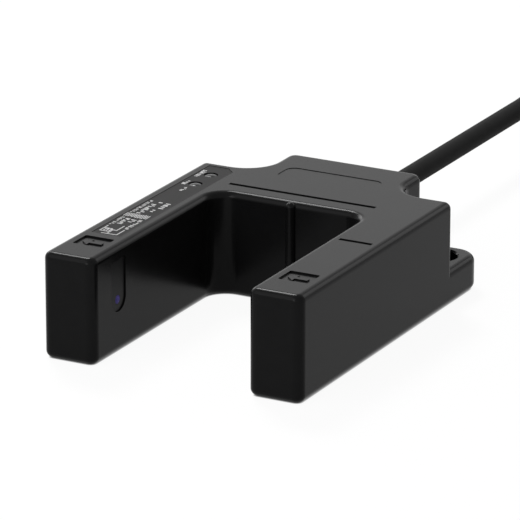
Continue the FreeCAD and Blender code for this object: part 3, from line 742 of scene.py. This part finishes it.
def coil_points(cable):
    """The control points of the coil's turns, from its top outer turn to its lowest outer turn."""
    straight_end, start = Vector(cable.straight_end), Vector(cable.coil_start)
    heading = (start - straight_end).normalized()
    across = Vector((heading.y, -heading.x, 0.0)).normalized()
    centre = start + across * cable.coil_outer
    first_angle = math.atan2(-across.y, -across.x) % math.tau
    full_angle = first_angle + math.tau * cable.whole_turns
    steps = round(full_angle / math.tau * TURN_POINTS)
    points = []
    for i in range(steps + 1):
        share = i / steps
        angle = first_angle - share * full_angle
        layer, gone = divmod(share * cable.layers, 1.0)
        if layer >= cable.layers:
            layer, gone = cable.layers - 1, 1.0
        inwards = gone if layer % 2 == 0 else 1.0 - gone
        radius = (cable.coil_outer + (cable.coil_inner - cable.coil_outer) * inwards) / TURN_SHARE
        height = start.z - layers_down(layer, gone, cable.layers) * cable.diameter
        points.append(Vector((
            centre.x + radius * math.cos(angle), centre.y + radius * math.sin(angle), height)))
    return points


def cable_route(cable):
    """The cable's control points from the bush to the jacket's cut."""
    exit_point = Vector((0.0, EXIT_Y, cable.straight_end[2]))
    straight_point = Vector((0.0, at(STRAIGHT_DEPTH), cable.straight_end[2]))
    turns = coil_points(cable)
    end = turns[-1] - Vector((0.0, cable.tail, 0.0))
    return [exit_point, straight_point, Vector(cable.straight_end)] + turns + [end]


def cable_curve(cable):
    """The cable as one smooth spline with a round section."""
    data = bpy.data.curves.new("sensor_cable", "CURVE")
    data.dimensions = "3D"
    data.bevel_depth = cable.diameter / 2.0
    data.bevel_resolution = 5
    data.use_fill_caps = True
    data.resolution_u = 6
    route = cable_route(cable)
    spline = data.splines.new("NURBS")
    spline.points.add(len(route) - 1)
    for point, place in zip(spline.points, route):
        point.co = (*place, 1.0)
    spline.order_u = 3
    spline.use_endpoint_u = True
    return new_object("sensor_cable", data)


def bare_ends():
    """The start and the end of each core's bare stretch, from the CAD's rods."""
    places = [vert.co.copy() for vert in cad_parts["core_ends"].data.vertices]
    rods = []
    for place in sorted(places, key=lambda place: place.x):
        if not rods or place.x - rods[-1][-1].x > CORE_GAP:
            rods.append([])
        rods[-1].append(place)
    for rod in rods:
        middle = sum(place.y for place in rod) / len(rod)
        near = [place for place in rod if place.y > middle]
        far = [place for place in rod if place.y < middle]
        yield sum(near, Vector()) / len(near), sum(far, Vector()) / len(far)


def add_strand(work, start, end, offset, turn):
    """Adds one round strand that winds about the line from start to end."""
    along = (end - start).normalized()
    side = along.cross(Vector((0.0, 0.0, 1.0))).normalized()
    up = side.cross(along)
    sides = [math.tau * j / STRAND_SIDES for j in range(STRAND_SIDES)]
    rings = []
    for i in range(STRAND_STEPS + 1):
        gone = (end - start).length * i / STRAND_STEPS
        angle = turn + math.tau * gone / STRAND_PITCH
        outward = side * math.cos(angle) + up * math.sin(angle)
        onward = (along + outward.cross(-along) * (math.tau * offset / STRAND_PITCH)).normalized()
        across = onward.cross(outward)
        centre = start + along * gone + outward * offset
        rings.append([
            work.verts.new(centre + (outward * math.cos(a) + across * math.sin(a)) * STRAND_RADIUS)
            for a in sides])
    for ring, following in zip(rings, rings[1:]):
        for j in range(STRAND_SIDES):
            work.faces.new((ring[j - 1], ring[j], following[j], following[j - 1]))
    work.faces.new(rings[0][::-1])
    work.faces.new(rings[-1])


def fill_strands(work):
    """Fills the bare end of each core with one straight strand and six wound round it."""
    draw = random.Random(STRAND_SEED)
    for start, end in bare_ends():
        add_strand(work, start, end, offset=0.0, turn=0.0)
        for i in range(WOUND_STRANDS):
            cut = end + (start - end) * draw.uniform(0.0, STRAND_CUT)
            add_strand(work, start, cut, offset=STRAND_RADIUS * 2.0, turn=math.tau * i / WOUND_STRANDS)
    bmesh.ops.recalc_face_normals(work, faces=work.faces)
    for face in work.faces:
        face.smooth = len(face.verts) == 4


def jacket_finish(values):
    """The cable's jacket: extruded plastic, more matt than the case."""
    finish = Finish("cable jacket", values.cable_colour, roughness=0.7, specular=0.05)
    return finish.mottled(size=5.0 * MM, spread=0.1).grained(size=0.35 * MM, depth=0.006 * MM)


def rubber_finish():
    """The bush's soft black rubber."""
    finish = Finish("bush rubber", (0.012, 0.012, 0.012), roughness=0.6, specular=0.3)
    return finish.mottled(size=2.0 * MM, spread=0.12).grained(size=0.25 * MM, depth=0.012 * MM)


def core_finish(name, colour):
    """The smooth insulation of one core."""
    finish = Finish(name + " core sleeve", colour, roughness=0.3)
    return finish.mottled(size=1.5 * MM, spread=0.1).grained(size=0.4 * MM, depth=0.004 * MM)


def tin_finish():
    """The tinned copper of the bare strands."""
    finish = Finish("tinned copper", (0.62, 0.61, 0.58), roughness=0.3, metallic=1.0)
    return finish.mottled(size=0.4 * MM, spread=0.15).grained(size=0.08 * MM, depth=0.006 * MM)


def dress_cores():
    """Gives each core its own colour, and returns the cores at the cable's far end."""
    ends = []
    for name, colour in CORE_COLOURS.items():
        dress_nodes(core_finish(name, colour), "lead_core_" + name, "end_core_" + name)
        ends.append(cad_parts["end_core_" + name])
    return ends


def add_strands():
    """Puts twisted strands in place of the CAD's bare core ends."""
    tin = tin_finish()
    strands = mesh_object("tinned_strands", fill_strands)
    dress(strands, tin)
    dress_nodes(tin, "core_ends")
    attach(strands, ROOT)
    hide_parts("core_ends")
    return strands


class FORKSENSOR_OT_cable(bpy.types.Operator):
    """Lay the cable and finish its bush, its inner end and its cores"""

    bl_idname = "forksensor.cable"
    bl_label = "Cable"

    def execute(self, context):
        cable, values = context.scene.sensor_cable, context.scene.sensor_finish
        jacket = jacket_finish(values)
        cord = cable_curve(cable)
        dress(cord, jacket)
        dress_nodes(jacket, "cable_lead_in", "cable", "cable_coil")
        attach(cord, ROOT)
        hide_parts("cable", "cable_coil")
        dress_nodes(rubber_finish(), "cable_bush")
        ends = dress_cores()
        ends += [add_strands(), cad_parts["cable_bush"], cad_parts["cable_lead_in"]]
        tuple(cable_route(cable)[0])
        return {"FINISHED"}


# Studio


# Half the side of the square floor, in metres
FLOOR_HALF = 4.0
# The floor lies this far below the sensor, so that no two faces are in one plane
FLOOR_DROP = 0.02 * MM
# The floor's grey as it lights the sensor
FLOOR_GREY = 0.8
# The floor's glow falls short of white by this share of its shade
SHADE_ROOM = 0.8
# How far from the sensor its contact shadow reaches on the floor
CONTACT_REACH = 0.5 * MM
# Each softbox: the property that holds its power, its width, and its place
SOFTBOXES = (
    ("back_lamp", 0.35, (-0.574, 0.547, 1.029)),
    ("front_lamp", 0.5, (-0.13, -1.172, 0.547)),
    ("left_lamp", 0.9, (-0.573, -0.845, 0.806)),
    ("rim_lamp", 0.5, (0.437, 1.082, 0.573)),
    ("side_lamp", 0.5, (-0.989, 0.659, 0.527)),
    ("sky_lamp", 1.0, (-0.573, 1.082, 0.437)),
)
# The point that all softboxes face
LAMP_AIM = (0.0, 0.0, 0.0)


def seen_by(tree):
    """A factor of 1 for what the camera, a gloss or a clear piece sees, and 0 for what lights."""
    path = tree.nodes.new("ShaderNodeLightPath")
    first = tree.nodes.new("ShaderNodeMath")
    second = tree.nodes.new("ShaderNodeMath")
    first.operation = second.operation = "MAXIMUM"
    tree.links.new(path.outputs["Is Camera Ray"], first.inputs[0])
    tree.links.new(path.outputs["Is Glossy Ray"], first.inputs[1])
    tree.links.new(first.outputs["Value"], second.inputs[0])
    tree.links.new(path.outputs["Is Transmission Ray"], second.inputs[1])
    return second.outputs["Value"]


def floor_material(shade):
    """A pale floor that shows as white and keeps the sensor's shadow."""
    material = bpy.data.materials.new("studio floor")
    material.use_nodes = True
    tree = material.node_tree
    tree.nodes.clear()
    output = tree.nodes.new("ShaderNodeOutputMaterial")
    lit = tree.nodes.new("ShaderNodeBsdfDiffuse")
    lit.inputs["Color"].default_value = (FLOOR_GREY, FLOOR_GREY, FLOOR_GREY, 1.0)
    shaded = tree.nodes.new("ShaderNodeBsdfDiffuse")
    shaded.inputs["Color"].default_value = (shade, shade, shade, 1.0)
    glow = tree.nodes.new("ShaderNodeEmission")
    glow.inputs["Strength"].default_value = 1.0 - shade * SHADE_ROOM
    contact = tree.nodes.new("ShaderNodeAmbientOcclusion")
    contact.inputs["Distance"].default_value = CONTACT_REACH
    tree.links.new(contact.outputs["Color"], glow.inputs["Color"])
    both = tree.nodes.new("ShaderNodeAddShader")
    mixed = tree.nodes.new("ShaderNodeMixShader")
    tree.links.new(shaded.outputs[0], both.inputs[0])
    tree.links.new(glow.outputs[0], both.inputs[1])
    tree.links.new(seen_by(tree), mixed.inputs["Fac"])
    tree.links.new(lit.outputs[0], mixed.inputs[1])
    tree.links.new(both.outputs[0], mixed.inputs[2])
    tree.links.new(mixed.outputs[0], output.inputs["Surface"])
    return material


def fill_floor(work):
    """Fills one large square."""
    signs = ((-1, -1), (1, -1), (1, 1), (-1, 1))
    work.faces.new([work.verts.new((x * FLOOR_HALF, y * FLOOR_HALF, -FLOOR_DROP)) for x, y in signs])


def add_floor(shade):
    """A large floor just below the sensor."""
    floor = mesh_object("studio_floor", fill_floor)
    floor.data.materials.append(floor_material(shade))
    floor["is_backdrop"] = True


def add_surround(strength):
    """A white surround that lights the sensor only softly."""
    world = bpy.data.worlds.new("studio surround")
    world.use_nodes = True
    tree = world.node_tree
    background = tree.nodes["Background"]
    background.inputs["Color"].default_value = (1.0, 1.0, 1.0, 1.0)
    level = tree.nodes.new("ShaderNodeMapRange")
    level.inputs["To Min"].default_value = strength
    level.inputs["To Max"].default_value = 1.0
    tree.links.new(seen_by(tree), level.inputs["Value"])
    tree.links.new(level.outputs["Result"], background.inputs["Strength"])
    bpy.context.scene.world = world


def add_lamp(name, power, size, place):
    """A square softbox that faces the sensor."""
    data = bpy.data.lights.new(name, "AREA")
    data.energy = power
    data.size = size
    lamp = new_object(name, data)
    lamp.visible_camera = False
    lamp.location = place
    lamp.rotation_euler = (Vector(LAMP_AIM) - Vector(place)).to_track_quat("-Z", "Y").to_euler()


def add_camera(studio):
    """The camera where the photographer stood."""
    data = bpy.data.cameras.new("photo_camera")
    data.sensor_width = 36.0
    data.lens = studio.camera_lens
    camera = new_object("photo_camera", data)
    turn = Matrix.Rotation(studio.camera_turn, 4, "Z")
    tilt = Matrix.Rotation(math.pi / 2.0 - studio.camera_drop, 4, "X")
    roll = Matrix.Rotation(studio.camera_roll, 4, "Z")
    camera.matrix_world = Matrix.Translation(studio.camera_place) @ turn @ tilt @ roll
    bpy.context.scene.camera = camera


class FORKSENSOR_OT_studio(bpy.types.Operator):
    """Set up the floor, the surround, the softboxes and the camera"""

    bl_idname = "forksensor.studio"
    bl_label = "Studio"

    def execute(self, context):
        studio = context.scene.sensor_studio
        add_floor(studio.floor_shade)
        add_surround(studio.surround)
        for lamp, size, place in SOFTBOXES:
            add_lamp(lamp, getattr(studio, lamp), size, place)
        add_camera(studio)
        context.scene.view_settings.view_transform = "Standard"
        return {"FINISHED"}


# Sidebar


class FORKSENSOR_PT_panel(bpy.types.Panel):
    """The sensor's sizes, colours and steps"""

    bl_label = "Fork Sensor"
    bl_idname = "FORKSENSOR_PT_panel"
    bl_space_type = "VIEW_3D"
    bl_region_type = "UI"
    bl_category = "Fork Sensor"

    def draw(self, context):
        for group, kind in GROUPS.items():
            box = self.layout.box()
            for name in kind.__annotations__:
                box.prop(getattr(context.scene, group), name)
        for operator in OPERATORS:
            self.layout.operator(operator.bl_idname)


OPERATORS = (
    FORKSENSOR_OT_studio,
    FORKSENSOR_OT_cable,
    FORKSENSOR_OT_case,
    FORKSENSOR_OT_label,
    FORKSENSOR_OT_optics,
    FORKSENSOR_OT_inner_parts,
    FORKSENSOR_OT_screws,
)
GROUPS = {"sensor_finish": SensorFinish, "sensor_cable": SensorCable, "sensor_studio": SensorStudio}


def register():
    """Makes the groups, the operators and the panel known to Blender."""
    for group in GROUPS.values():
        bpy.utils.register_class(group)
    for name, group in GROUPS.items():
        setattr(bpy.types.Scene, name, PointerProperty(type=group))
    for operator in OPERATORS:
        bpy.utils.register_class(operator)
    bpy.utils.register_class(FORKSENSOR_PT_panel)


def unregister():
    """Takes them out of Blender again."""
    bpy.utils.unregister_class(FORKSENSOR_PT_panel)
    for operator in reversed(OPERATORS):
        bpy.utils.unregister_class(operator)
    for name, group in reversed(GROUPS.items()):
        delattr(bpy.types.Scene, name)
        bpy.utils.unregister_class(group)


def main():
    """Runs every operator in order."""
    register()
    for operator in OPERATORS:
        group, step = operator.bl_idname.split(".")
        getattr(getattr(bpy.ops, group), step)()
    sizes = {name: [list(corner) for corner in box] for name, box in (("cad", CAD_BOX), ("visual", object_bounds()))}


if __name__ == "__main__":
    main()
